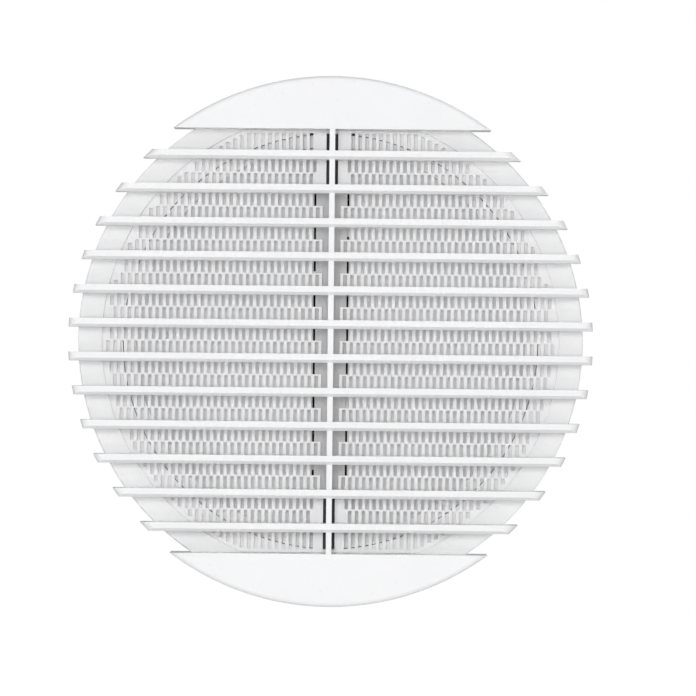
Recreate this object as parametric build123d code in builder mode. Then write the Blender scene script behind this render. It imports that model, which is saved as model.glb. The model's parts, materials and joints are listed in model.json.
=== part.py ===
from build123d import *
import os
from math import cos, radians, sin, sqrt

# Round in-duct bathroom extractor fan with a louvred front grille.
# +Y runs into the duct, -Y faces the room, +Z is up. The origin is on the duct axis at the wall face.
# All sizes are in millimetres.

os.makedirs("parts", exist_ok=True)

# Driving dimensions
face_radius = 90.0
ring_radius = 86.0
louvre_radius = 89.0
duct_radius = 75.0
louvre_pitch = 11.5
louvre_count = 12
louvre_depth = 17.0
total_depth = 165.0
running_clearance = 0.05
moving_gap = 0.3

# Front grille
flange_front = -5.0
ring_back = flange_front - 0.5
ring_front = ring_back - 2.5
grille_front = ring_front - louvre_depth
ring_opening_radius = ring_radius - 8.0
skirt_wall = 1.8
louvre_thickness = 3.0
louvre_edge_radius = 0.8
louvre_tip_radius = 3.0
drip_height = 1.0
drip_depth = 1.5
cap_chord = louvre_pitch * louvre_count / 2 + 3.1
cap_wall = 1.8
cap_crown_radius = 1200.0
cap_edge_radius = 1.6
cap_lip_radius = 1.2
ring_edge_radius = 0.5
rib_width = 1.9
rib_front = grille_front + drip_depth
rib_back = ring_front - 2.0
peg_circle_radius = ring_radius - 5.0
peg_radius = 1.5

# Housing: wall flange and duct spigot
flange_inset = skirt_wall + 0.7
spigot_radius = duct_radius - 1.0
bore_radius = spigot_radius - 3.0
gasket_radius = spigot_radius + 1.4
gasket_width = 2.4
gasket_depth = 1.0
pocket_radius = ring_opening_radius - 1.3
pocket_back = -2.0
cassette_screw_y = 146.0
cassette_screw_angles = (30, 150, 270)
wall_screw_x = 29.0
wall_screw_z = 75.0
wall_screw_radius = 2.25
lead_x = 7.0
lead_z = 72.3
lead_radius = 1.2
lead_slot_width = 3.2
lead_entry_z = 75.6

# Insect screens
screen_front = flange_front - 0.3
screen_back = screen_front + 1.0
screen_radius = ring_opening_radius + 0.2
screen_chord = cap_chord - 0.1
slot_pitch = 2.37
slot_width = 1.21
slot_height = 5.2
slot_row_height = louvre_pitch / 2
slot_limit_radius = ring_opening_radius - 1.2
slot_limit_chord = screen_chord - 0.9
last_row = louvre_count - 1
screen_gap_half = 2.0
screen_border = 5.1
hinge_zone = 53.0
hinge_gap_half = 3.1
window_edge = 2.75 * slot_pitch
seal_half_width = 4.5
seal_thickness = 1.6

# Back-draught shutter
seat_radius = bore_radius - 0.2
seat_inner_radius = seat_radius - 4.3
seat_front = 0.5
seat_back = 3.5
flap_front = seat_back + moving_gap
flap_thickness = 1.5
flap_radius = bore_radius - 0.5
flap_hinge_edge = 6.0
spindle_radius = 1.25
spindle_y = 8.0
knuckle_radius = 2.6
knuckle_length = 8.0
bar_half_width = 5.3

# Fan cassette, impeller and motor
cassette_radius = bore_radius - 0.2
cassette_inner_radius = cassette_radius - 2.8
cassette_front = 84.0
cassette_back = 152.0
cup_radius = 33.0
cup_inner_radius = 31.0
cup_front = 113.0
vane_count = 7
impeller_radius = cassette_inner_radius - 1.5
impeller_front = 86.0
impeller_back = 110.0
hub_radius = 26.0
hub_wall = 2.0
blade_count = 9
shaft_radius = 2.0
bush_radius = 4.5
rotor_radius = 13.0
stator_radius = 29.5
stator_front = 123.0
stator_back = 139.0
stator_bore = rotor_radius + 0.4
yoke_inner_radius = 24.2
pole_width = 11.0
stack_length = stator_back - stator_front
bobbin_start = 15.4
coil_start = 16.2
coil_stop = 20.8
bobbin_stop = 21.6
bolt_circle_radius = 26.8
bolt_radius = 1.25
rear_bracket_front = 145.5
rear_bracket_back = 147.0
motor_nut_back = rear_bracket_back + 2.0

# Terminal chamber behind the top cap
block_width = 22.0
block_bottom = cap_chord + 5.9
block_top = block_bottom + 8.0
block_front = flange_front - 15.0
wire_hole_y = flange_front - 9.0
insert_front = flange_front - 11.0
insert_back = flange_front - 4.1
pole_pitch = lead_x
grommet_x = -22.0
grommet_z = 79.3
grommet_radius = 4.0
clamp_x = -15.5
clamp_low = 76.4
clamp_high = 84.2
clamp_back = flange_front - 4.5
clamp_thickness = 1.8


def across(depth):
    """A plane across the duct: local x is +X, local y is +Z, and an extrusion goes towards the room."""
    return Plane.XZ.offset(-depth)


def ring(outer, inner):
    """An annulus in the current sketch."""
    Circle(outer)
    Circle(inner, mode=Mode.SUBTRACT)


def disc_solid(outer, front, back, mode=Mode.ADD):
    """A round slab on the duct axis between two depths."""
    with BuildSketch(across(back)) as profile:
        Circle(outer)
    extrude(profile.sketch, amount=back - front, mode=mode)


def ring_solid(outer, inner, front, back, mode=Mode.ADD):
    """An annular slab on the duct axis between two depths."""
    with BuildSketch(across(back)) as profile:
        ring(outer, inner)
    extrude(profile.sketch, amount=back - front, mode=mode)


def foot_solid(inset, front, back, mode=Mode.ADD):
    """A slab in the outline of the grille's foot: the ring's circle, with wider ends behind the caps."""
    with BuildSketch(across(back)) as profile:
        Circle(face_radius - inset)
        Rectangle(2 * face_radius + 10, 2 * (cap_chord + inset), mode=Mode.SUBTRACT)
        Circle(ring_radius - inset)
    extrude(profile.sketch, amount=back - front, mode=mode)


def post(x, z, radius, front, back, mode=Mode.ADD):
    """A round post or hole parallel to the duct axis."""
    with BuildSketch(across(back)) as profile:
        with Locations((x, z)):
            Circle(radius)
    extrude(profile.sketch, amount=back - front, mode=mode)


def on_circle(radius, degrees):
    return radius * cos(radians(degrees)), radius * sin(radians(degrees))


def save(builder, name):
    builder.part.label = name
    export_step(builder.part, f"parts/{name}.step")


# Front grille: ring with pegs, skirt, fixed louvres, centre rib, and two hollow caps.
# They are one moulding, kept here as separate pieces that meet face to face.

crown_apex = grille_front - (cap_crown_radius - sqrt(cap_crown_radius**2 - cap_chord**2))


def crowned_profile(radius, apex, edge_radius):
    """Half section, radius against depth, of a shallow dome with a rounded rim."""
    rim = apex + cap_crown_radius - sqrt(cap_crown_radius**2 - radius**2)
    middle = radius / 2
    crown = apex + cap_crown_radius - sqrt(cap_crown_radius**2 - middle**2)
    with BuildLine() as outline:
        ThreePointArc((0, apex), (middle, crown), (radius, rim))
        Line((radius, rim), (radius, ring_back))
        Line((radius, ring_back), (0, ring_back))
        Line((0, ring_back), (0, apex))
    make_face(outline.edges())
    rim_corner = vertices().group_by(Axis.X)[-1].sort_by(Axis.Y)[0]
    fillet(rim_corner, radius=edge_radius)


with BuildPart() as cap_core:
    with BuildSketch(Plane.XY):
        crowned_profile(face_radius - cap_wall, crown_apex + cap_wall, cap_edge_radius / 2)
    revolve(axis=Axis.Y)
    with BuildSketch(Plane.XY.offset(cap_chord + cap_wall)):
        Rectangle(4 * face_radius, 4 * face_radius)
    extrude(amount=face_radius, mode=Mode.INTERSECT)

with BuildPart() as cap:
    with BuildSketch(Plane.XY):
        crowned_profile(face_radius, crown_apex, cap_edge_radius)
    revolve(axis=Axis.Y)
    # Everything below the chord is cut away, leaving a rounded lip
    with BuildSketch(Plane.YZ.offset(-face_radius - 5)) as above_chord:
        with Locations((grille_front, cap_chord)):
            Rectangle(face_radius, face_radius, align=Align.MIN)
        lip_corner = above_chord.vertices().group_by(Axis.Y)[0].sort_by(Axis.Z)[0]
        fillet(lip_corner, radius=cap_lip_radius)
    extrude(amount=2 * face_radius + 10, mode=Mode.INTERSECT)
    add(cap_core.part, mode=Mode.SUBTRACT)

save(cap, "grille_cap_top")

with BuildPart() as lower_cap:
    mirror(cap.part, about=Plane.XY)
save(lower_cap, "grille_cap_bottom")

with BuildPart() as louvre_bounds:
    disc_solid(louvre_radius, grille_front, ring_front)
    fillet(edges().filter_by(GeomType.CIRCLE).group_by(Axis.Y)[0], radius=louvre_tip_radius)

with BuildPart() as louvres:
    for number in range(louvre_count):
        louvre_z = ((louvre_count - 1) / 2 - number) * louvre_pitch
        with BuildSketch(Plane.YZ.offset(-face_radius - 5)) as section:
            with BuildLine():
                Polyline(
                    (grille_front, louvre_z + louvre_thickness / 2),
                    (ring_front, louvre_z + louvre_thickness / 2),
                    (ring_front, louvre_z - louvre_thickness / 2),
                    (grille_front + drip_depth, louvre_z - louvre_thickness / 2),
                    (grille_front, louvre_z - louvre_thickness / 2 + drip_height),
                    close=True,
                )
            make_face()
            top_corner = section.vertices().group_by(Axis.Y)[0].sort_by(Axis.Z)[-1]
            fillet(top_corner, radius=louvre_edge_radius)
        extrude(amount=2 * face_radius + 10)
    add(louvre_bounds.part, mode=Mode.INTERSECT)
save(louvres, "grille_louvres")

with BuildPart() as centre_rib:
    with BuildSketch(across(rib_back)):
        Rectangle(rib_width, 2 * cap_chord)
    extrude(amount=rib_back - rib_front)
    add(louvres.part, mode=Mode.SUBTRACT)
save(centre_rib, "grille_rib")

with BuildPart() as skirt:
    foot_solid(0, ring_back, 0)
    foot_solid(skirt_wall, ring_back - 1, 1, mode=Mode.SUBTRACT)
save(skirt, "grille_skirt")

with BuildPart() as grille_ring:
    ring_solid(ring_radius, ring_opening_radius, ring_front, ring_back)
    front_circles = edges().filter_by(GeomType.CIRCLE).group_by(Axis.Y)[0]
    fillet(front_circles.sort_by(SortBy.LENGTH)[-1], radius=ring_edge_radius)
    # The two caps take the ring's place above and below the louvres
    with BuildSketch(across(ring_back)):
        Rectangle(2 * face_radius + 10, 2 * cap_chord)
    extrude(amount=ring_back - ring_front, mode=Mode.INTERSECT)
    # Push-in pegs
    with BuildSketch(across(-0.4)):
        with PolarLocations(peg_circle_radius, 4, start_angle=45):
            Circle(peg_radius)
    pegs = extrude(amount=-0.4 - ring_back)
    chamfer(pegs.edges().group_by(Axis.Y)[-1], length=0.6)
save(grille_ring, "grille_ring")

# Insect screens: two half discs with staggered rows of upright slots


def slot_rows():
    """Each row's number and middle height: a louvre gap has an upper and a lower row."""
    return [(row, (row + 0.5) * slot_row_height) for row in range(-last_row - 1, last_row + 1)]


def row_start(row, row_z):
    """Where the slots of a row may begin: beyond the hinge bar, its window or the plain border."""
    if abs(row_z) > hinge_zone:
        return screen_border
    return window_edge if row % 2 == 0 else hinge_gap_half


def slot_span(x, row, row_z):
    """Lowest and highest point of the slot at this place, kept inside the screen's plain rim."""
    rim = sqrt(max(0, slot_limit_radius**2 - (x + slot_width / 2) ** 2))
    limit = min(rim, slot_limit_chord)
    # The outermost rows are taller and end behind the caps' lips
    low = -limit if row == -last_row - 1 else row_z - slot_height / 2
    high = limit if row == last_row else row_z + slot_height / 2
    return max(low, -limit), min(high, limit)


def slotted_screen(side):
    """A half disc with staggered rows of upright slots, and windows beside the hinge bar."""
    with BuildSketch(across(screen_back)) as outline:
        Circle(screen_radius)
        with Locations((side * (screen_gap_half + face_radius), 0)):
            Rectangle(2 * face_radius, 2 * screen_chord, mode=Mode.INTERSECT)
        Rectangle(2 * hinge_gap_half, 2 * hinge_zone, mode=Mode.SUBTRACT)
        for row, row_z in slot_rows():
            full_places = []
            for column in range(34):
                x = (column + (0.5 if row % 2 == 0 else 1.0)) * slot_pitch
                low, high = slot_span(x, row, row_z)
                if x - slot_width / 2 < row_start(row, row_z) - 0.01 or high - low < slot_width:
                    continue
                if abs(high - low - slot_height) < 0.01:
                    full_places.append((side * x, row_z))
                    continue
                with Locations((side * x, (low + high) / 2)):
                    Rectangle(slot_width, high - low, mode=Mode.SUBTRACT)
            with Locations(*full_places):
                Rectangle(slot_width, slot_height, mode=Mode.SUBTRACT)
            if row % 2 == 0 and abs(row_z) < hinge_zone:
                with Locations((side * window_edge / 2, row_z)):
                    Rectangle(window_edge, slot_height, mode=Mode.SUBTRACT)
    extrude(outline.sketch, amount=screen_back - screen_front, clean=False)


with BuildPart() as screen_left:
    slotted_screen(-1)
save(screen_left, "screen_left")

with BuildPart() as screen_right:
    slotted_screen(1)
save(screen_right, "screen_right")

# Dark foam strips behind the joint of the two screens, above and below the hinge bar
seal_low = hinge_zone + 0.4
seal_high = slot_limit_chord - 0.5

with BuildPart() as screen_seals:
    with BuildSketch(across(screen_back + seal_thickness)):
        for sign in (-1, 1):
            with Locations((0, sign * (seal_low + seal_high) / 2)):
                Rectangle(2 * seal_half_width, seal_high - seal_low)
    extrude(amount=seal_thickness)
save(screen_seals, "screen_seals")

# Housing: wall flange and duct spigot in one moulding, kept as two pieces that meet at the wall face

with BuildPart() as wall_flange:
    foot_solid(flange_inset, flange_front, 0)
    disc_solid(bore_radius, flange_front - 1, 1, mode=Mode.SUBTRACT)
    # Seat for the screens, and a deeper pocket behind their slots
    with BuildSketch(across(screen_back)):
        Circle(screen_radius + 0.3)
        Rectangle(2 * face_radius, 2 * (screen_chord + 0.3), mode=Mode.INTERSECT)
    extrude(amount=screen_back - flange_front, mode=Mode.SUBTRACT)
    with BuildSketch(across(pocket_back)):
        Circle(pocket_radius)
        Rectangle(2 * face_radius, 2 * (screen_chord - 1.2), mode=Mode.INTERSECT)
    extrude(amount=pocket_back - screen_back, mode=Mode.SUBTRACT)
    ring_solid(gasket_radius + gasket_width, gasket_radius, -gasket_depth, 0, mode=Mode.SUBTRACT)
    with BuildSketch(across(0)):
        with GridLocations(2 * wall_screw_x, 2 * wall_screw_z, 2, 2):
            Circle(wall_screw_radius)
        with PolarLocations(peg_circle_radius, 4, start_angle=45):
            Circle(peg_radius + moving_gap)
        with Locations((grommet_x, grommet_z)):
            Circle(grommet_radius)
    extrude(amount=-flange_front, mode=Mode.SUBTRACT)
    # Slots for the motor leads
    with BuildSketch(across(0)):
        with Locations((-lead_x, lead_entry_z - 1.9), (lead_x, lead_entry_z - 1.9)):
            Rectangle(lead_slot_width, 7.4)
    extrude(amount=-flange_front, mode=Mode.SUBTRACT)
    # Posts for the cable clamp
    for height in (clamp_low, clamp_high):
        post(clamp_x, height, 1.7, clamp_back, flange_front)
        post(clamp_x, height, 0.8, clamp_back, flange_front + 1, mode=Mode.SUBTRACT)
save(wall_flange, "wall_flange")


def screw_plane(angle):
    """The plane across a cassette screw, at the duct's axis."""
    x, z = on_circle(1, angle)
    return Plane(origin=(0, cassette_screw_y, 0), x_dir=(0, 1, 0), z_dir=(x, 0, z))


with BuildPart() as duct_spigot:
    ring_solid(spigot_radius, bore_radius, 0, total_depth)
    # Slots for the motor leads, along the top
    with BuildSketch(across(total_depth - 5)):
        with Locations((-lead_x, lead_z - 1.9), (lead_x, lead_z - 1.9)):
            Rectangle(lead_slot_width, 7.6)
    extrude(amount=total_depth - 5, mode=Mode.SUBTRACT)
    # Countersunk holes for the cassette screws
    for angle in cassette_screw_angles:
        with BuildSketch(screw_plane(angle).offset(bore_radius - 1)):
            Circle(1.6)
        extrude(amount=5, mode=Mode.SUBTRACT)
        with BuildSketch(screw_plane(angle).offset(spigot_radius + 0.2)):
            Circle(3.2)
        extrude(amount=-1.8, taper=42, mode=Mode.SUBTRACT)
    spigot_rim = edges().filter_by(GeomType.CIRCLE).group_by(Axis.Y)[-1]
    chamfer(spigot_rim, length=0.6)
save(duct_spigot, "duct_spigot")

with BuildPart() as wall_gasket:
    ring_solid(gasket_radius + gasket_width - 0.1, gasket_radius + 0.1, -gasket_depth + 0.02, 0)
    with BuildSketch(across(0)):
        with Locations((-lead_x, spigot_radius), (lead_x, spigot_radius)):
            Rectangle(lead_slot_width + 0.4, 12)
    extrude(amount=gasket_depth, mode=Mode.SUBTRACT)
save(wall_gasket, "wall_gasket")

# Back-draught shutter: seat ring, hinge bar with lugs, spindle, two half-disc flaps and their springs

lug_places = (-51.5, 0.0, 51.5)
lug_length = 3.0
right_knuckles = (40.0, -20.0)
left_knuckles = (20.0, -40.0)

with BuildPart() as shutter_frame:
    ring_solid(seat_radius, seat_inner_radius, seat_front, seat_back)
    # Notches that take the hinge bar's tangs
    with BuildSketch(across(seat_back)):
        with Locations((0, seat_inner_radius + 1), (0, -seat_inner_radius - 1)):
            Rectangle(2.4, 4.0)
    extrude(amount=seat_back - seat_front, mode=Mode.SUBTRACT)
save(shutter_frame, "shutter_frame")

with BuildPart() as hinge_bar:
    with BuildSketch(across(3.0)):
        RectangleRounded(2 * bar_half_width, 2 * hinge_zone, 1.0)
        Rectangle(2.0, 2 * (seat_inner_radius + 2.6))
    extrude(amount=2.4)
    # Two raised ridges along the bar's front
    with BuildSketch(across(0.6)):
        with Locations((-3.4, 0), (3.4, 0)):
            Rectangle(1.0, 2 * hinge_zone - 4)
    extrude(amount=0.5)
    for lug_z in lug_places:
        with BuildSketch(Plane.XY.offset(lug_z - lug_length / 2)) as lug:
            with Locations((0, spindle_y)):
                Circle(knuckle_radius)
            with Locations((0, (spindle_y + 2.8) / 2)):
                Rectangle(2 * knuckle_radius, spindle_y - 2.8)
            with Locations((0, spindle_y)):
                Circle(spindle_radius + 0.01, mode=Mode.SUBTRACT)
        extrude(amount=lug_length)
save(hinge_bar, "hinge_bar")

with BuildPart() as hinge_spindle:
    with BuildSketch(Plane.XY.offset(-55)):
        with Locations((0, spindle_y)):
            Circle(spindle_radius)
    extrude(amount=110)
    chamfer(edges().filter_by(GeomType.CIRCLE), length=0.3)
save(hinge_spindle, "hinge_spindle")


def swing_flap(side, knuckles):
    """A half-disc flap on one side of the hinge, with arms that reach back to its knuckles."""
    with BuildSketch(across(flap_front + flap_thickness)) as plate:
        Circle(flap_radius)
        with Locations((side * (screen_gap_half + face_radius), 0)):
            Rectangle(2 * face_radius, 4 * face_radius, mode=Mode.INTERSECT)
        Rectangle(2 * flap_hinge_edge, 2 * hinge_zone + 1.5, mode=Mode.SUBTRACT)
    extrude(plate.sketch, amount=flap_thickness)
    # Stiffening ribs on the back of the flap
    with BuildSketch(across(flap_front + flap_thickness + 1.2)) as ribs:
        for rib_z in (-40, -20, 20, 40):
            with Locations((side * (flap_hinge_edge + 18.5), rib_z)):
                Rectangle(36, 1.4)
    extrude(ribs.sketch, amount=1.4)
    for knuckle_z in knuckles:
        with BuildSketch(Plane.XY.offset(knuckle_z - knuckle_length / 2)) as arm:
            with BuildLine() as outline:
                Polyline(
                    (side * 0.6, spindle_y - 2.4),
                    (side * 0.6, spindle_y + 2.4),
                    (side * 9.0, flap_front + flap_thickness),
                    (side * 9.0, flap_front + 0.4),
                    (side * 5.4, flap_front + 0.4),
                    close=True,
                )
            make_face()
            with Locations((0, spindle_y)):
                Circle(knuckle_radius)
            with Locations((0, spindle_y)):
                Circle(spindle_radius + running_clearance, mode=Mode.SUBTRACT)
        extrude(arm.sketch, amount=knuckle_length)


with BuildPart() as flap_left:
    swing_flap(-1, left_knuckles)
save(flap_left, "flap_left")

with BuildPart() as flap_right:
    swing_flap(1, right_knuckles)
save(flap_right, "flap_right")


def torsion_spring(side, knuckle_z):
    """A close-wound torsion spring beside a knuckle, with one leg along the back of its flap."""
    wire = 0.35
    turns = 7
    coil_radius = spindle_radius + 0.25 + wire
    start = knuckle_z + knuckle_length / 2 + 0.3 + wire
    plane = Plane(origin=(0, spindle_y, 0), x_dir=(1, 0, 0), z_dir=(0, -1, 0))
    with BuildSketch(plane) as turns_section:
        with Locations(*[(coil_radius, start + turn * 1.8 * wire) for turn in range(turns)]):
            Circle(wire)
    revolve(turns_section.sketch, axis=Axis((0, spindle_y, 0), (0, 0, 1)))
    leg_z = start + (turns - 1) * 1.8 * wire
    leg_plane = Plane(origin=(side * 1.2, spindle_y + coil_radius * 0.8, leg_z), z_dir=(side, -0.16, 0))
    with BuildSketch(leg_plane) as leg:
        Circle(wire)
    extrude(leg.sketch, amount=11)


with BuildPart() as flap_spring_left:
    for height in left_knuckles:
        torsion_spring(-1, height)
save(flap_spring_left, "flap_spring_left")

with BuildPart() as flap_spring_right:
    for height in right_knuckles:
        torsion_spring(1, height)
save(flap_spring_right, "flap_spring_right")

# Fan cassette: sleeve, guide vanes and motor cup in one moulding, kept as pieces that meet face to face

with BuildPart() as guide_vane:
    with BuildSketch(Plane.XY.offset(cup_inner_radius - 4)):
        with Locations((0, (cup_front + cassette_back) / 2 + 1)):
            Rectangle(1.8, cassette_back - cup_front - 6, rotation=14)
    extrude(amount=cassette_radius - cup_inner_radius + 3)
    with BuildSketch(across(cassette_back)):
        ring(cassette_inner_radius, cup_radius)
    extrude(amount=cassette_back - cup_front, mode=Mode.INTERSECT)

with BuildPart() as guide_vanes:
    for number in range(vane_count):
        add(guide_vane.part.rotate(Axis.Y, (number + 0.5) * 360 / vane_count))
save(guide_vanes, "guide_vanes")

with BuildPart() as motor_cup:
    ring_solid(cup_radius, cup_inner_radius, cup_front, cassette_back)
    ring_solid(cup_radius, bush_radius + 0.3, cup_front, cup_front + 2)
save(motor_cup, "motor_cup")

with BuildPart() as cassette_sleeve:
    ring_solid(cassette_radius, cassette_inner_radius, cassette_front, cassette_back)
    # Screw bosses, and notches for the motor leads
    for angle in cassette_screw_angles:
        with BuildSketch(screw_plane(angle).offset(cassette_inner_radius - 4)):
            Circle(3.0)
        extrude(amount=5.0)
        with BuildSketch(screw_plane(angle).offset(cassette_inner_radius - 5)):
            Circle(1.3)
        extrude(amount=12, mode=Mode.SUBTRACT)
    with BuildSketch(across(cassette_back)):
        with Locations((-lead_x, lead_z - 3), (lead_x, lead_z - 3)):
            Rectangle(lead_slot_width + 0.8, 8.0)
    extrude(amount=16, mode=Mode.SUBTRACT)
    add(guide_vanes.part, mode=Mode.SUBTRACT)
save(cassette_sleeve, "cassette_sleeve")

with BuildPart() as motor_cap:
    ring_solid(cup_radius, cup_inner_radius, cassette_back, cassette_back + 8)
    disc_solid(cup_radius, cassette_back + 8, cassette_back + 10)
    ring_solid(cup_inner_radius - 0.1, cup_inner_radius - 1.4, cassette_back - 2.5, cassette_back + 8)
    chamfer(edges().filter_by(GeomType.CIRCLE).group_by(Axis.Y)[-1], length=1.0)
    for side in (-1, 1):
        with BuildSketch(Plane.XY.offset(20)):
            with Locations((side * lead_x, cassette_back + 5)):
                Circle(lead_radius + 0.15)
        extrude(amount=20, mode=Mode.SUBTRACT)
    # Cooling slots in the end face
    with BuildSketch(across(cassette_back + 10)):
        for number in range(-3, 4):
            half_length = sqrt((cup_inner_radius - 4)**2 - (number * 6)**2)
            with Locations((0, number * 6)):
                SlotOverall(2 * half_length, 2.2)
    extrude(amount=3, mode=Mode.SUBTRACT)
save(motor_cap, "motor_cap")

with BuildPart() as cassette_screws:
    for angle in cassette_screw_angles:
        with BuildSketch(screw_plane(angle).offset(spigot_radius - 0.1)):
            Circle(2.9)
        extrude(amount=-1.5, taper=42)
        with BuildSketch(screw_plane(angle).offset(cassette_inner_radius - 3)):
            Circle(1.25)
        extrude(amount=spigot_radius - 1.0 - cassette_inner_radius + 3)
        with BuildSketch(screw_plane(angle).offset(spigot_radius)):
            Rectangle(3.2, 0.7)
            Rectangle(0.7, 3.2)
        extrude(amount=-0.8, mode=Mode.SUBTRACT)
save(cassette_screws, "cassette_screws")

# Impeller and shaft

blade_middle = (impeller_front + impeller_back) / 2 + 0.5

with BuildPart() as impeller_blade:
    for radius, chord, pitch_angle in ((20, 21, 42), (45, 27, 32), (69, 34, 24)):
        with BuildSketch(Plane(origin=(0, blade_middle, radius), x_dir=(1, 0, 0), z_dir=(0, 0, 1))):
            RectangleRounded(chord, 1.7, 0.8, rotation=pitch_angle)
    loft()
    with BuildSketch(across(impeller_back + 5)):
        ring(impeller_radius, hub_radius)
    extrude(amount=impeller_back - impeller_front + 10, mode=Mode.INTERSECT)

with BuildPart() as impeller_blades:
    for number in range(blade_count):
        add(impeller_blade.part.rotate(Axis.Y, number * 360 / blade_count))
save(impeller_blades, "impeller_blades")

with BuildPart() as impeller_hub:
    disc_solid(hub_radius, impeller_front, impeller_back)
    chamfer(edges().filter_by(GeomType.CIRCLE).group_by(Axis.Y)[0], length=2.0)
    disc_solid(hub_radius - hub_wall, impeller_front + hub_wall, impeller_back, mode=Mode.SUBTRACT)
    disc_solid(6.0, impeller_front + hub_wall, impeller_back - 2)
    with BuildSketch(across(impeller_back - 3)):
        with PolarLocations(15, 6):
            Rectangle(18.5, 1.4)
    extrude(amount=impeller_back - 3 - impeller_front - 1)
    disc_solid(shaft_radius, impeller_front - 1, impeller_back, mode=Mode.SUBTRACT)
save(impeller_hub, "impeller_hub")

with BuildPart() as impeller_nut:
    with BuildSketch(across(impeller_front)):
        RegularPolygon(4.0, 6)
        Circle(shaft_radius, mode=Mode.SUBTRACT)
    extrude(amount=3.0)
save(impeller_nut, "impeller_nut")

with BuildPart() as motor_shaft:
    disc_solid(shaft_radius, impeller_front - 4.5, rear_bracket_back + 3.5)
    chamfer(edges().filter_by(GeomType.CIRCLE), length=0.4)
save(motor_shaft, "motor_shaft")

with BuildPart() as rotor_core:
    ring_solid(rotor_radius, shaft_radius, stator_front, stator_back)
save(rotor_core, "rotor_core")

with BuildPart() as rotor_end_rings:
    ring_solid(rotor_radius - 0.4, 8.0, stator_front - 2, stator_front)
    ring_solid(rotor_radius - 0.4, 8.0, stator_back, stator_back + 2)
save(rotor_end_rings, "rotor_end_rings")

with BuildPart() as thrust_washers:
    ring_solid(4.0, shaft_radius, stator_front - 2.8, stator_front)
    ring_solid(4.0, shaft_radius, stator_back, stator_back + 2.8)
save(thrust_washers, "thrust_washers")

# Motor: stator, coils, brackets, bushes, bolts and nuts

with BuildPart() as stator_core:
    with BuildSketch(across(stator_back)):
        ring(stator_radius, yoke_inner_radius)
        with PolarLocations(yoke_inner_radius / 2 + 5.5, 4):
            Rectangle(yoke_inner_radius - 8, pole_width)
        Circle(stator_bore, mode=Mode.SUBTRACT)
        with PolarLocations(bolt_circle_radius, 4, start_angle=45):
            Circle(bolt_radius + 0.1, mode=Mode.SUBTRACT)
    extrude(amount=stator_back - stator_front)
save(stator_core, "stator_core")


def around_pole(angle, extra_width, extra_length, hole_extra, start, stop):
    """A rectangular collar round one stator pole, larger than it by these extras, between two radii."""
    x, z = on_circle(1, angle)
    middle = (stator_front + stator_back) / 2
    plane = Plane(origin=(start * x, middle, start * z), x_dir=(0, 1, 0), z_dir=(x, 0, z))
    with BuildSketch(plane) as collar:
        RectangleRounded(stack_length + extra_length, pole_width + extra_width, 1.5)
        Rectangle(stack_length + hole_extra, pole_width + hole_extra, mode=Mode.SUBTRACT)
    extrude(collar.sketch, amount=stop - start)


with BuildPart() as coil_bobbins:
    for angle in (0, 90, 180, 270):
        around_pole(angle, 2.0, 2.0, 0.1, bobbin_start, bobbin_stop)
        around_pole(angle, 5.6, 7.0, 0.1, bobbin_start, coil_start)
        around_pole(angle, 8.0, 7.0, 0.1, coil_stop, bobbin_stop)
save(coil_bobbins, "coil_bobbins")

with BuildPart() as stator_coils:
    for angle in (0, 90, 180, 270):
        around_pole(angle, 5.2, 6.4, 2.0, coil_start, coil_stop)
save(stator_coils, "stator_coils")


def bearing_bracket(front, back, boss_front, boss_back):
    ring_solid(cup_inner_radius - 0.2, bush_radius, front, back)
    ring_solid(7.5, bush_radius, boss_front, boss_back)
    with BuildSketch(across(back)) as holes:
        with PolarLocations(bolt_circle_radius, 4, start_angle=45):
            Circle(bolt_radius + 0.1)
        with PolarLocations(17, 4):
            Circle(5.0)
    extrude(holes.sketch, amount=back - front, mode=Mode.SUBTRACT)


with BuildPart() as front_bearing_bracket:
    bearing_bracket(cup_front + 2, cup_front + 3.5, cup_front + 2, cup_front + 6)
save(front_bearing_bracket, "front_bearing_bracket")

with BuildPart() as rear_bearing_bracket:
    bearing_bracket(rear_bracket_front, rear_bracket_back, rear_bracket_front - 2.5, rear_bracket_back + 0.5)
save(rear_bearing_bracket, "rear_bearing_bracket")

with BuildPart() as front_bush:
    ring_solid(bush_radius, shaft_radius + running_clearance, cup_front + 0.5, stator_front - 3)
save(front_bush, "front_bush")

with BuildPart() as rear_bush:
    ring_solid(bush_radius, shaft_radius + running_clearance, stator_back + 3, rear_bracket_back + 1.5)
save(rear_bush, "rear_bush")

with BuildPart() as motor_bolts:
    with BuildSketch(across(motor_nut_back + 0.2)):
        with PolarLocations(bolt_circle_radius, 4, start_angle=45):
            Circle(bolt_radius)
    extrude(amount=motor_nut_back + 0.2 - cup_front - 3.5)
    with BuildSketch(across(cup_front + 5.5)):
        with PolarLocations(bolt_circle_radius, 4, start_angle=45):
            Circle(2.3)
    extrude(amount=2.0)
save(motor_bolts, "motor_bolts")

with BuildPart() as motor_nuts:
    with BuildSketch(across(motor_nut_back)):
        with PolarLocations(bolt_circle_radius, 4, start_angle=45):
            RegularPolygon(2.5, 6)
            Circle(bolt_radius, mode=Mode.SUBTRACT)
    extrude(amount=2.0)
save(motor_nuts, "motor_nuts")

# Terminal chamber: block, inserts, screws, clamp and grommet

block_middle_z = (block_bottom + block_top) / 2
pole_places = (-pole_pitch, 0, pole_pitch)

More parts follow.
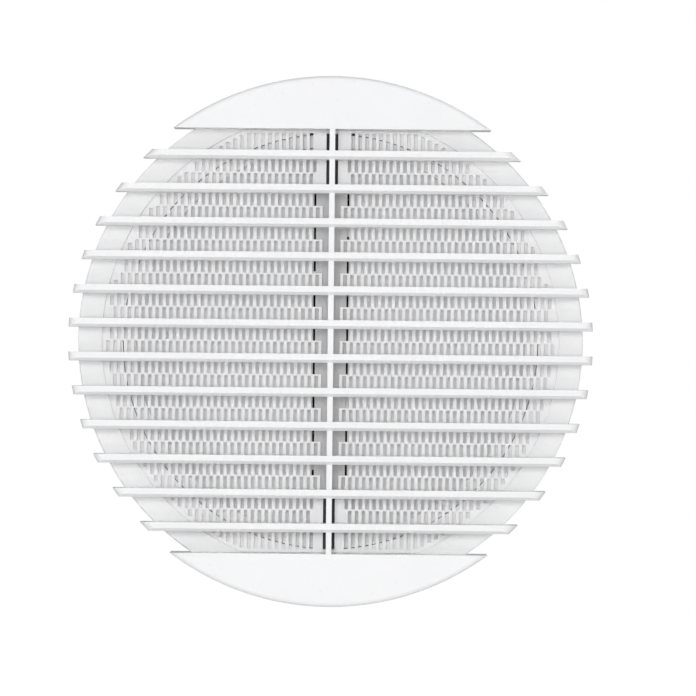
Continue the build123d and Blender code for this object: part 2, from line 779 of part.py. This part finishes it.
with BuildPart() as terminal_block:
    with BuildSketch(across(flange_front)):
        with Locations((0, block_middle_z)):
            Rectangle(block_width, block_top - block_bottom)
    extrude(amount=flange_front - block_front)
    fillet(edges().filter_by(Axis.Y), radius=0.6)
    for pole_x in pole_places:
        post(pole_x, block_middle_z, 2.2, block_front, insert_back + 0.1, mode=Mode.SUBTRACT)
        with BuildSketch(Plane.XY.offset(block_bottom)):
            with Locations((pole_x, wire_hole_y)):
                Circle(1.5)
        extrude(amount=block_top - block_bottom, mode=Mode.SUBTRACT)
    # Grooves that part the poles
    with BuildSketch(across(block_front + 2)):
        with Locations((-pole_pitch / 2, block_middle_z), (pole_pitch / 2, block_middle_z)):
            Rectangle(0.8, block_top - block_bottom)
    extrude(amount=2, mode=Mode.SUBTRACT)
save(terminal_block, "terminal_block")

with BuildPart() as terminal_inserts:
    for pole_x in pole_places:
        post(pole_x, block_middle_z, 2.1, insert_front, insert_back)
        post(pole_x, block_middle_z, 1.2, insert_front, insert_front + 3.4, mode=Mode.SUBTRACT)
        with BuildSketch(Plane.XY.offset(block_middle_z - 3)):
            with Locations((pole_x, wire_hole_y)):
                Circle(lead_radius + 0.05)
        extrude(amount=6, mode=Mode.SUBTRACT)
save(terminal_inserts, "terminal_inserts")

with BuildPart() as terminal_screws:
    head_back = block_front + 2.4
    for pole_x in pole_places:
        post(pole_x, block_middle_z, 1.9, head_back - 1.8, head_back)
        post(pole_x, block_middle_z, 1.15, head_back, insert_front + 0.6)
        with BuildSketch(across(head_back - 1.0)):
            with Locations((pole_x, block_middle_z)):
                Rectangle(4.0, 0.6)
        extrude(amount=1.0, mode=Mode.SUBTRACT)
save(terminal_screws, "terminal_screws")

with BuildPart() as cable_clamp:
    clamp_middle = (clamp_low + clamp_high) / 2
    with BuildSketch(across(clamp_back)):
        with Locations((clamp_x, clamp_middle)):
            Rectangle(3.2, clamp_high - clamp_low + 3.2)
        with Locations((clamp_x, clamp_low), (clamp_x, clamp_high)):
            Circle(0.9, mode=Mode.SUBTRACT)
    extrude(amount=clamp_thickness)
    with BuildSketch(across(clamp_back + 0.8)):
        with Locations((clamp_x, clamp_middle)):
            Rectangle(3.2, clamp_high - clamp_low - 4.0)
    extrude(amount=1.0)
save(cable_clamp, "cable_clamp")

with BuildPart() as clamp_screws:
    head_back = clamp_back - clamp_thickness
    for height in (clamp_low, clamp_high):
        post(clamp_x, height, 1.5, head_back - 1.3, head_back)
        post(clamp_x, height, 0.75, head_back, flange_front - 0.2)
        with BuildSketch(across(head_back - 0.6)):
            with Locations((clamp_x, height)):
                Rectangle(2.0, 0.5)
                Rectangle(0.5, 2.0)
        extrude(amount=0.8, mode=Mode.SUBTRACT)
save(clamp_screws, "clamp_screws")

with BuildPart() as cable_grommet:
    post(grommet_x, grommet_z, grommet_radius - 0.05, flange_front - 1.2, 0)
    post(grommet_x, grommet_z, grommet_radius + 1.0, flange_front - 1.4, flange_front)
    post(grommet_x, grommet_z, 2.6, flange_front - 2.0, 0, mode=Mode.SUBTRACT)
save(cable_grommet, "cable_grommet")

# Motor leads: from the terminals, along the slots in the spigot's top, and down into the motor cap


def motor_lead(side):
    x = side * lead_x
    with BuildLine() as route:
        FilletPolyline(
            (x, wire_hole_y, block_bottom + 2.5),
            (x, wire_hole_y, lead_entry_z),
            (x, flange_front - 0.6, lead_entry_z),
            (x, 0.2, lead_z),
            (x, cassette_back + 5, lead_z),
            (x, cassette_back + 5, 25.0),
            radius=[2.6, 3.0, 4.0, 13.0],
        )
    with BuildSketch(Plane(origin=(x, wire_hole_y, block_bottom + 2.5), z_dir=(0, 0, -1))) as wire:
        Circle(lead_radius)
    sweep(wire.sketch, path=route.line)


with BuildPart() as motor_leads:
    motor_lead(-1)
    motor_lead(1)
save(motor_leads, "motor_leads")
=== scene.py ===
import json
import math

import bpy
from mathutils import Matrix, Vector


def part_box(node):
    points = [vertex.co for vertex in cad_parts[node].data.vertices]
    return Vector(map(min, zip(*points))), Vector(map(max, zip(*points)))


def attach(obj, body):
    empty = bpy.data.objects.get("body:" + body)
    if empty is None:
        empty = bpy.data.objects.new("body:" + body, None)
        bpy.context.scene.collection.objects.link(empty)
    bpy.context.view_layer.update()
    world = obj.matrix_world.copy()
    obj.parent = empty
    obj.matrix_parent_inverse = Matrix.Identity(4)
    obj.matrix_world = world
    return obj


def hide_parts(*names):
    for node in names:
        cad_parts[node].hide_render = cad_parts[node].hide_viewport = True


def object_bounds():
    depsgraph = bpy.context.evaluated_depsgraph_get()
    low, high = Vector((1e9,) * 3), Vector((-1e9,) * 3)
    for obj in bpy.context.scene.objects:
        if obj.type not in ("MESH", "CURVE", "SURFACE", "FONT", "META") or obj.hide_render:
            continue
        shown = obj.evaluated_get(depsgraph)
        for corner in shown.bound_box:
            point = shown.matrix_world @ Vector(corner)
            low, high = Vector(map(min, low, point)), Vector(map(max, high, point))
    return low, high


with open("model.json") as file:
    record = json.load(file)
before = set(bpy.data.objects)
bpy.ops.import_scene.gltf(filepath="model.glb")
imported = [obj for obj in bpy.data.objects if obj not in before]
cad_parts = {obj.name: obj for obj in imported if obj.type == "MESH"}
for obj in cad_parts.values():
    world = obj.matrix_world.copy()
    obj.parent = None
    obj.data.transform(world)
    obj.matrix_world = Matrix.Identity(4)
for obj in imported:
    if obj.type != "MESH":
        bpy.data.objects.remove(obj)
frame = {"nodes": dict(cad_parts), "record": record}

MM = 0.001
cad_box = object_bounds()
nodes = frame["nodes"]


# Camera, floor and light

CAMERA_DISTANCE = 2.6
CAMERA_LENS_MM = 394.0
CAMERA_TILT = -0.55
FLOOR_DROP = 0.22
AMBIENT_STRENGTH = 0.36


def place_camera():
    """Far out on the fan's axis, turned by the small tilt of the view."""
    ring_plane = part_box("screen_left")[0].y
    data = bpy.data.cameras.new("camera")
    data.sensor_width = 36.0
    data.lens = CAMERA_LENS_MM
    data.shift_x = 0.0251
    data.shift_y = -0.0093
    data.clip_start = 0.01
    camera = bpy.data.objects.new("camera", data)
    camera.location = (0.0, ring_plane - CAMERA_DISTANCE, 0.0)
    camera.rotation_euler = (math.radians(90.0), math.radians(CAMERA_TILT), 0.0)
    bpy.context.scene.collection.objects.link(camera)
    bpy.context.scene.camera = camera


def add_floor():
    """A wide pale floor, well below the fan, which a wall would hold."""
    half = 6.0
    height = cad_box[0].z - FLOOR_DROP
    corners = [(-half, -half, height), (half, -half, height), (half, half, height), (-half, half, height)]
    mesh = bpy.data.meshes.new("floor")
    mesh.from_pydata(corners, [], [(0, 1, 2, 3)])
    floor = bpy.data.objects.new("floor", mesh)
    bpy.context.scene.collection.objects.link(floor)
    material, graph = new_material("floor_paper")
    tone = graph.noise(scale=3.0, detail=2.0)
    graph.colour_between(tone, (0.86, 0.86, 0.86), (0.90, 0.90, 0.90))
    graph.set("Roughness", 0.9)
    # Paper lit from below, so that it runs into the white surroundings
    graph.set("Emission Color", (1.0, 1.0, 1.0, 1.0))
    seen = graph.add("ShaderNodeLightPath").outputs["Is Camera Ray"]
    graph.link(graph.ranged(seen, 0.0, 0.9), graph.shader.inputs["Emission Strength"])
    floor.data.materials.append(material)


def add_light(name, place, target, size, power, mirrored=True):
    """A soft rectangular light that faces a point and isn't seen itself, or mirrored only where asked."""
    data = bpy.data.lights.new(name, "AREA")
    data.shape = "RECTANGLE"
    data.size, data.size_y = size
    data.energy = power
    light = bpy.data.objects.new(name, data)
    light.location = place
    light.rotation_euler = (Vector(target) - Vector(place)).to_track_quat("-Z", "Y").to_euler()
    light.visible_camera = False
    light.visible_glossy = mirrored
    bpy.context.scene.collection.objects.link(light)


def light_studio():
    """White surroundings, a large soft light from the front and above, and weaker ones round the back."""
    world = bpy.data.worlds.new("studio")
    bpy.context.scene.world = world
    world.use_nodes = True
    tree = world.node_tree
    tree.nodes.clear()
    path = tree.nodes.new("ShaderNodeLightPath")
    seen = tree.nodes.new("ShaderNodeBackground")
    seen.inputs["Color"].default_value = (1.0, 1.0, 1.0, 1.0)
    seen.inputs["Strength"].default_value = 1.0
    ambient = tree.nodes.new("ShaderNodeBackground")
    ambient.inputs["Color"].default_value = (0.96, 0.97, 1.0, 1.0)
    ambient.inputs["Strength"].default_value = AMBIENT_STRENGTH
    mix = tree.nodes.new("ShaderNodeMixShader")
    output = tree.nodes.new("ShaderNodeOutputWorld")
    tree.links.new(path.outputs["Is Camera Ray"], mix.inputs["Fac"])
    tree.links.new(ambient.outputs["Background"], mix.inputs[1])
    tree.links.new(seen.outputs["Background"], mix.inputs[2])
    tree.links.new(mix.outputs["Shader"], output.inputs["Surface"])
    add_light("front_softbox", (-0.06, -2.4, 0.10), (0.0, 0.0, 0.0), (0.5, 0.5), 30.5, mirrored=False)
    add_light("top_softbox", (0.0, -0.9, 1.5), (0.0, 0.0, 0.0), (1.2, 1.2), 2.0)
    add_light("left_fill", (-1.6, -0.9, 0.3), (0.0, 0.0, 0.0), (1.0, 1.0), 1.0)
    add_light("back_softbox", (0.9, 1.6, 1.0), (0.0, 0.08, 0.0), (1.2, 1.2), 9.0)


# Materials

class Graph:
    """The nodes of one material round its Principled shader."""

    def __init__(self, material):
        self.tree = material.node_tree
        self.shader = self.tree.nodes["Principled BSDF"]
        self.place = self.tree.nodes.new("ShaderNodeTexCoord").outputs["Object"]

    def add(self, kind, **settings):
        node = self.tree.nodes.new(kind)
        for key, value in settings.items():
            setattr(node, key, value)
        return node

    def link(self, source, target):
        self.tree.links.new(source, target)

    def set(self, socket, value):
        self.shader.inputs[socket].default_value = value

    def stretched(self, scale):
        """Object coordinates scaled along each axis."""
        mapping = self.add("ShaderNodeMapping")
        mapping.inputs["Scale"].default_value = scale
        self.link(self.place, mapping.inputs["Vector"])
        return mapping.outputs["Vector"]

    def noise(self, scale, detail=3.0, roughness=0.5, vector=None):
        node = self.add("ShaderNodeTexNoise")
        node.inputs["Scale"].default_value = scale
        node.inputs["Detail"].default_value = detail
        node.inputs["Roughness"].default_value = roughness
        self.link(vector or self.place, node.inputs["Vector"])
        return node.outputs["Fac"]

    def cells(self, scale, feature="F1"):
        node = self.add("ShaderNodeTexVoronoi", feature=feature)
        node.inputs["Scale"].default_value = scale
        self.link(self.place, node.inputs["Vector"])
        return node.outputs["Distance"]

    def bands(self, scale, direction, distortion=0.0):
        node = self.add("ShaderNodeTexWave", bands_direction=direction)
        node.inputs["Scale"].default_value = scale
        node.inputs["Distortion"].default_value = distortion
        self.link(self.place, node.inputs["Vector"])
        return node.outputs["Fac"]

    def ranged(self, source, low, high, start=0.0, stop=1.0):
        """The source, from start to stop, stretched to run from low to high."""
        node = self.add("ShaderNodeMapRange")
        for socket, value in (("From Min", start), ("From Max", stop), ("To Min", low), ("To Max", high)):
            node.inputs[socket].default_value = value
        self.link(source, node.inputs["Value"])
        return node.outputs["Result"]

    def blend(self, amount, first, second):
        """A colour between two, each of them a socket or three numbers."""
        node = self.add("ShaderNodeMix", data_type="RGBA")
        self.link(amount, node.inputs["Factor"])
        for socket, colour in ((node.inputs[6], first), (node.inputs[7], second)):
            if isinstance(colour, tuple):
                socket.default_value = (*colour, 1.0)
            else:
                self.link(colour, socket)
        return node.outputs[2]

    def colour_between(self, amount, first, second):
        self.link(self.blend(amount, first, second), self.shader.inputs["Base Color"])

    def roughness_between(self, amount, low, high):
        self.link(self.ranged(amount, low, high, 0.3, 0.7), self.shader.inputs["Roughness"])

    def bump(self, height, strength, distance, under=None):
        node = self.add("ShaderNodeBump")
        node.inputs["Strength"].default_value = strength
        node.inputs["Distance"].default_value = distance
        self.link(height, node.inputs["Height"])
        if under:
            self.link(under, node.inputs["Normal"])
        self.link(node.outputs["Normal"], self.shader.inputs["Normal"])
        return node.outputs["Normal"]


def new_material(name):
    material = bpy.data.materials.new(name)
    material.use_nodes = True
    return material, Graph(material)


def shaded(colour, factor):
    return tuple(channel * factor for channel in colour)


def moulded_plastic(name, colour, roughness, texture=0.25, grain=700.0, translucency=0.0):
    """Injection-moulded plastic: faint flow marks in its tone, uneven gloss and a fine surface ripple."""
    material, graph = new_material(name)
    flow = graph.noise(scale=26.0, detail=4.0)
    specks = graph.ranged(graph.noise(scale=900.0, detail=2.0), 0.0, 1.0, 0.66, 0.74)
    tone = graph.blend(graph.ranged(flow, 0.0, 1.0, 0.35, 0.65), shaded(colour, 0.985), shaded(colour, 1.012))
    graph.colour_between(specks, tone, shaded(colour, 0.94))
    graph.roughness_between(graph.noise(scale=55.0, detail=5.0), roughness - 0.05, roughness + 0.06)
    ripple = graph.bump(graph.noise(scale=90.0, detail=1.0), 0.08, 0.4 * MM)
    graph.bump(graph.noise(scale=grain, detail=2.0), texture, 0.05 * MM, ripple)
    graph.set("IOR", 1.5)
    if translucency:
        graph.set("Subsurface Weight", translucency)
        graph.set("Subsurface Radius", (1.0, 0.95, 0.9))
        graph.set("Subsurface Scale", 1.2 * MM)
    return material


def metal(name, colour, roughness, along=(1.0, 1.0, 1.0), grain=400.0):
    """Metal with fine lines stretched along one axis, dull patches and small tone changes."""
    material, graph = new_material(name)
    lines = graph.noise(scale=grain, detail=4.0, vector=graph.stretched(along))
    patches = graph.noise(scale=60.0, detail=3.0)
    graph.colour_between(patches, shaded(colour, 0.88), shaded(colour, 1.08))
    graph.roughness_between(lines, roughness - 0.08, roughness + 0.12)
    graph.bump(lines, 0.2, 0.04 * MM)
    graph.set("Metallic", 1.0)
    return material


def soft_rubber(name, colour, cell_scale, depth):
    """Rubber or foam with open cells and a powdery tone."""
    material, graph = new_material(name)
    cells = graph.cells(cell_scale)
    graph.colour_between(graph.noise(scale=120.0), shaded(colour, 0.8), shaded(colour, 1.3))
    graph.bump(cells, 0.6, depth)
    graph.set("Roughness", 0.8)
    return material


def laminated_steel(name):
    """Stacked sheets, seen as fine lines across the motor's axis."""
    material, graph = new_material(name)
    sheets = graph.bands(scale=320.0, direction="Y", distortion=0.4)
    stain = graph.noise(scale=140.0, detail=5.0)
    graph.colour_between(stain, (0.20, 0.20, 0.22), (0.42, 0.41, 0.40))
    graph.roughness_between(stain, 0.35, 0.6)
    graph.bump(sheets, 0.5, 0.08 * MM)
    graph.set("Metallic", 0.9)
    return material


def enamelled_copper(name):
    material, graph = new_material(name)
    graph.colour_between(graph.noise(scale=220.0), (0.42, 0.13, 0.045), (0.62, 0.22, 0.07))
    graph.roughness_between(graph.noise(scale=500.0), 0.22, 0.38)
    graph.set("Metallic", 0.75)
    graph.set("Coat Weight", 0.6)
    graph.set("Coat Roughness", 0.15)
    return material


def make_materials():
    return {
        "white_gloss": moulded_plastic("white_gloss", (0.91, 0.91, 0.91), 0.20, 0.10, translucency=0.06),
        # Painted light: the screens' white is set lighter than white_gloss, and the flap's and housing's
        # whites a little lighter, to stand in for light that the recess behind the louvres lacks.
        "white_screen": moulded_plastic("white_screen", (0.96, 0.96, 0.965), 0.34, 0.12),
        "white_housing": moulded_plastic("white_housing", (0.93, 0.93, 0.93), 0.38, 0.2),
        "white_flap": moulded_plastic("white_flap", (0.93, 0.93, 0.93), 0.38, 0.15),
        "grey_plastic": moulded_plastic("grey_plastic", (0.68, 0.68, 0.68), 0.42, 0.35),
        "black_plastic": moulded_plastic("black_plastic", (0.022, 0.022, 0.024), 0.42, 0.5, 900.0),
        "ivory_plastic": moulded_plastic("ivory_plastic", (0.76, 0.72, 0.62), 0.38, 0.3),
        "natural_nylon": moulded_plastic("natural_nylon", (0.80, 0.77, 0.68), 0.40, 0.3, translucency=0.2),
        "bright_steel": metal("bright_steel", (0.62, 0.62, 0.63), 0.22, (0.4, 6.0, 0.4)),
        "spring_steel": metal("spring_steel", (0.42, 0.42, 0.44), 0.30),
        "zinc_steel": metal("zinc_steel", (0.60, 0.61, 0.60), 0.34),
        "cast_aluminium": metal("cast_aluminium", (0.66, 0.66, 0.67), 0.45, grain=900.0),
        "sintered_bronze": metal("sintered_bronze", (0.45, 0.30, 0.15), 0.50, grain=1200.0),
        "brass_insert": metal("brass_insert", (0.72, 0.52, 0.22), 0.28, (1.0, 8.0, 1.0)),
        "lamination_steel": laminated_steel("lamination_steel"),
        "copper_winding": enamelled_copper("copper_winding"),
        "foam_rubber": soft_rubber("foam_rubber", (0.05, 0.05, 0.05), 1500.0, 0.3 * MM),
        "black_rubber": soft_rubber("black_rubber", (0.025, 0.025, 0.025), 2500.0, 0.05 * MM),
        "lead_insulation": soft_rubber("lead_insulation", (0.50, 0.51, 0.53), 1800.0, 0.02 * MM),
    }


def paint_frame(materials):
    """Every CAD node that stays takes the material of its slot."""
    for part in frame["record"]["subparts"]:
        mesh = nodes[part["node"]].data
        mesh.materials.clear()
        mesh.materials.append(materials[part["material_slot"]])


# Torsion springs of the two shutter flaps, wound from wire

SPINDLE_Y = 0.008
KNUCKLES = {"left": (0.020, -0.040), "right": (0.040, -0.020)}
SPRING_RADIUS = 0.00185
SPRING_WIRE_RADIUS = 0.0003
SPRING_PITCH = 0.00068
SPRING_START = 0.0044
SPRING_TURNS = 6
STEPS_PER_TURN = 28
LONG_LEG_SLOPE = 0.35
LONG_LEG_REACH = 0.0118
SHORT_LEG_LENGTH = 0.0040


def spring_points(side, knuckle_z):
    """The wire's middle line: a short leg towards the hinge bar, the turns, and a long leg along the flap."""
    first = math.radians(-90.0)
    last = math.atan(LONG_LEG_SLOPE) + 2.0 * math.pi * SPRING_TURNS
    steps = int(STEPS_PER_TURN * (last - first) / (2.0 * math.pi))
    points = []
    for step in range(steps + 1):
        angle = first + (last - first) * step / steps
        height = knuckle_z + SPRING_START + SPRING_PITCH * (angle - first) / (2.0 * math.pi)
        x = side * SPRING_RADIUS * math.sin(angle)
        points.append(Vector((x, SPINDLE_Y + SPRING_RADIUS * math.cos(angle), height)))
    short_end = points[0] + Vector((0.0, -SHORT_LEG_LENGTH, 0.0))
    run = LONG_LEG_REACH - abs(points[-1].x)
    long_end = points[-1] + Vector((side * run, -LONG_LEG_SLOPE * run, 0.0))
    return [short_end, *points, long_end]


def wind_springs(name, side):
    """Both springs of one flap, as one curve object."""
    curve = bpy.data.curves.new(f"spring_wire_{name}", "CURVE")
    curve.dimensions = "3D"
    curve.bevel_depth = SPRING_WIRE_RADIUS
    curve.bevel_resolution = 3
    curve.use_fill_caps = True
    for knuckle_z in KNUCKLES[name]:
        points = spring_points(side, knuckle_z)
        spline = curve.splines.new("POLY")
        spline.points.add(len(points) - 1)
        for point, place in zip(spline.points, points):
            point.co = (*place, 1.0)
    spring = bpy.data.objects.new(f"spring_wire_{name}", curve)
    bpy.context.scene.collection.objects.link(spring)
    curve.materials.append(materials["spring_steel"])
    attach(spring, f"flap_{name}")
    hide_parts(f"flap_spring_{name}")


place_camera()
add_floor()
light_studio()
materials = make_materials()
paint_frame(materials)
wind_springs("left", -1)
wind_springs("right", 1)

bpy.context.scene.view_settings.view_transform = "Standard"
